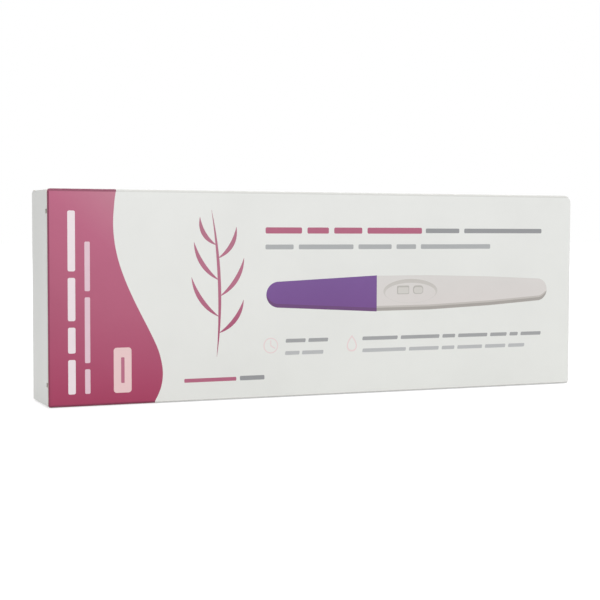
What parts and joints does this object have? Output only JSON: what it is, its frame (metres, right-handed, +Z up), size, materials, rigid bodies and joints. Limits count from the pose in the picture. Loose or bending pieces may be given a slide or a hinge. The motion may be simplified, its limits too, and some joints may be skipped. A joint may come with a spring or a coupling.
{
  "type": "pregnancy test carton",
  "caption": "Flat tuck-end folding carton for a home pregnancy test, lying on its long narrow side, with hinged end lids, a sealed pouch and a folded leaflet inside.",
  "frame": {"origin": "middle of the closed carton's base, on the bottom panel's outer face", "axes": "+X along the carton to its right end, +Y from the printed front panel to the back panel, +Z up"},
  "size_m": [0.168, 0.021, 0.06],
  "materials": {
    "coated_board": "satin",
    "foil_laminate": "gloss",
    "thin_paper": "matte"
  },
  "bodies": {
    "carton": {"carton_sleeve": "coated_board", "foil_pouch": "foil_laminate", "instruction_leaflet": "thin_paper"},
    "left_lid": {"left_tuck_lid": "coated_board"},
    "right_lid": {"right_tuck_lid": "coated_board"}
  },
  "joints": [
    {"name": "left_lid_hinge", "type": "hinge", "parent": "carton", "child": "left_lid", "pos_m": [-0.0838, 0.0103, 0.03], "axis": [0, 0, -1], "range_deg": [0, 150]},
    {"name": "right_lid_hinge", "type": "hinge", "parent": "carton", "child": "right_lid", "pos_m": [0.0838, -0.0103, 0.03], "axis": [0, 0, -1], "range_deg": [0, 150]}
  ]
}
